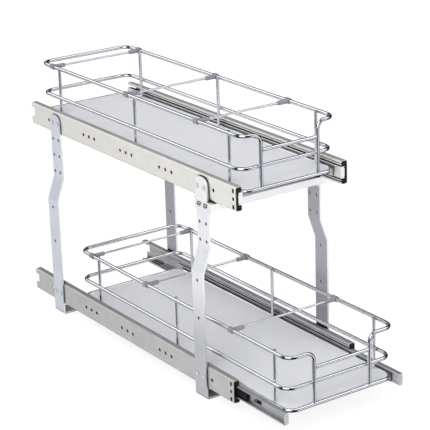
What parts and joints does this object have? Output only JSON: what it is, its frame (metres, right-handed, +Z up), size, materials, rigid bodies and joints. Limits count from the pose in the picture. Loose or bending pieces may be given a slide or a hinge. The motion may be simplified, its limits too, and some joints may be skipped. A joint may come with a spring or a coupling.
{
  "type": "pull out cabinet basket",
  "caption": "Tiered pull-out cabinet basket: chrome wire baskets on telescopic ball-bearing slides, carried by bent flat-bar posts that screw to the cabinet floor.",
  "frame": {"origin": "on the cabinet floor, at the centre of the rectangle of floor screw holes, midway between the four posts", "axes": "+Z up from the floor, -Y towards the cabinet's front, the way both baskets pull out, +X to the right seen from the front"},
  "size_m": [0.203, 0.609, 0.3645],
  "materials": {
    "frame_steel": "satin zinc plate",
    "bright_chrome": "bright plate",
    "wire_chrome": "bright plate",
    "slide_zinc": "satin zinc plate",
    "slide_bright": "rolled zinc plate",
    "cage_steel": "greased sheet",
    "ball_steel": "polished",
    "fastener_steel": "satin zinc plate",
    "black_plastic": "moulded",
    "grey_plastic": "moulded",
    "liner_plastic": "finely ribbed, translucent"
  },
  "bodies": {
    "frame": {"front_frame_bar": "frame_steel", "rear_frame_bar": "frame_steel", "upper_front_crossbar": "bright_chrome", "crossbar_screws": "fastener_steel", "crossbar_nuts": "fastener_steel", "frame_rivets": "fastener_steel", "mouth_stops": "black_plastic", "upper_left_outer_member": "slide_zinc", "upper_right_outer_member": "slide_zinc", "lower_left_outer_member": "slide_zinc", "lower_right_outer_member": "slide_zinc"},
    "upper_basket": {"upper_left_inner_member": "slide_bright", "upper_right_inner_member": "slide_bright", "upper_mounting_strips": "slide_bright", "upper_strip_rivets": "fastener_steel", "upper_base_frame": "wire_chrome", "upper_floor_wires": "wire_chrome", "upper_liner": "liner_plastic", "upper_hoops": "wire_chrome", "upper_middle_rail": "wire_chrome", "upper_top_rail": "wire_chrome", "upper_front_wire": "wire_chrome", "upper_cross_ties": "wire_chrome", "upper_tie_clips": "grey_plastic"},
    "upper_slide_middles": {"upper_left_middle_member": "slide_bright", "upper_right_middle_member": "slide_bright", "upper_middle_stops": "black_plastic"},
    "upper_outer_cages": {"upper_left_outer_cage": "cage_steel", "upper_right_outer_cage": "cage_steel", "upper_outer_balls": "ball_steel"},
    "upper_inner_cages": {"upper_left_inner_cage": "cage_steel", "upper_right_inner_cage": "cage_steel", "upper_inner_balls": "ball_steel"},
    "upper_left_lever": {"upper_left_release_lever": "black_plastic"},
    "upper_right_lever": {"upper_right_release_lever": "black_plastic"},
    "lower_basket": {"lower_left_inner_member": "slide_bright", "lower_right_inner_member": "slide_bright", "lower_mounting_strips": "slide_bright", "lower_strip_rivets": "fastener_steel", "lower_base_frame": "wire_chrome", "lower_floor_wires": "wire_chrome", "lower_liner": "liner_plastic", "lower_hoops": "wire_chrome", "lower_middle_rail": "wire_chrome", "lower_top_rail": "wire_chrome", "lower_front_wire": "wire_chrome", "lower_cross_ties": "wire_chrome", "lower_tie_clips": "grey_plastic"},
    "lower_slide_middles": {"lower_left_middle_member": "slide_bright", "lower_right_middle_member": "slide_bright", "lower_middle_stops": "black_plastic"},
    "lower_outer_cages": {"lower_left_outer_cage": "cage_steel", "lower_right_outer_cage": "cage_steel", "lower_outer_balls": "ball_steel"},
    "lower_inner_cages": {"lower_left_inner_cage": "cage_steel", "lower_right_inner_cage": "cage_steel", "lower_inner_balls": "ball_steel"},
    "lower_left_lever": {"lower_left_release_lever": "black_plastic"},
    "lower_right_lever": {"lower_right_release_lever": "black_plastic"}
  },
  "joints": [
    {"name": "upper_basket_slide", "type": "slide", "parent": "frame", "child": "upper_basket", "axis": [0, -1, 0], "range_m": [0, 0.5]},
    {"name": "upper_slide_middles_slide", "type": "slide", "parent": "frame", "child": "upper_slide_middles", "axis": [0, -1, 0], "range_m": [0, 0.25]},
    {"name": "upper_outer_cages_slide", "type": "slide", "parent": "frame", "child": "upper_outer_cages", "axis": [0, -1, 0], "range_m": [0, 0.125]},
    {"name": "upper_inner_cages_slide", "type": "slide", "parent": "frame", "child": "upper_inner_cages", "axis": [0, -1, 0], "range_m": [0, 0.375]},
    {"name": "upper_left_lever_pivot", "type": "hinge", "parent": "upper_basket", "child": "upper_left_lever", "pos_m": [-0.0801, -0.138, 0.286], "axis": [1, 0, 0], "range_deg": [-4, 4], "stiffness_Nm_per_rad": 0.02},
    {"name": "upper_right_lever_pivot", "type": "hinge", "parent": "upper_basket", "child": "upper_right_lever", "pos_m": [0.0801, -0.138, 0.286], "axis": [1, 0, 0], "range_deg": [-4, 4], "stiffness_Nm_per_rad": 0.02},
    {"name": "lower_basket_slide", "type": "slide", "parent": "frame", "child": "lower_basket", "axis": [0, -1, 0], "range_m": [-0.101, 0.399]},
    {"name": "lower_slide_middles_slide", "type": "slide", "parent": "frame", "child": "lower_slide_middles", "axis": [0, -1, 0], "range_m": [-0.0505, 0.1995]},
    {"name": "lower_outer_cages_slide", "type": "slide", "parent": "frame", "child": "lower_outer_cages", "axis": [0, -1, 0], "range_m": [-0.02525, 0.09975]},
    {"name": "lower_inner_cages_slide", "type": "slide", "parent": "frame", "child": "lower_inner_cages", "axis": [0, -1, 0], "range_m": [-0.07575, 0.29925]},
    {"name": "lower_left_lever_pivot", "type": "hinge", "parent": "lower_basket", "child": "lower_left_lever", "pos_m": [-0.0916, -0.239, 0.031], "axis": [1, 0, 0], "range_deg": [-4, 4], "stiffness_Nm_per_rad": 0.02},
    {"name": "lower_right_lever_pivot", "type": "hinge", "parent": "lower_basket", "child": "lower_right_lever", "pos_m": [0.0916, -0.239, 0.031], "axis": [1, 0, 0], "range_deg": [-4, 4], "stiffness_Nm_per_rad": 0.02}
  ],
  "couplings": [
    {"joint": "upper_slide_middles_slide", "follows": "upper_basket_slide", "ratio": 0.5},
    {"joint": "upper_outer_cages_slide", "follows": "upper_basket_slide", "ratio": 0.25},
    {"joint": "upper_inner_cages_slide", "follows": "upper_basket_slide", "ratio": 0.75},
    {"joint": "lower_slide_middles_slide", "follows": "lower_basket_slide", "ratio": 0.5},
    {"joint": "lower_outer_cages_slide", "follows": "lower_basket_slide", "ratio": 0.25},
    {"joint": "lower_inner_cages_slide", "follows": "lower_basket_slide", "ratio": 0.75}
  ]
}
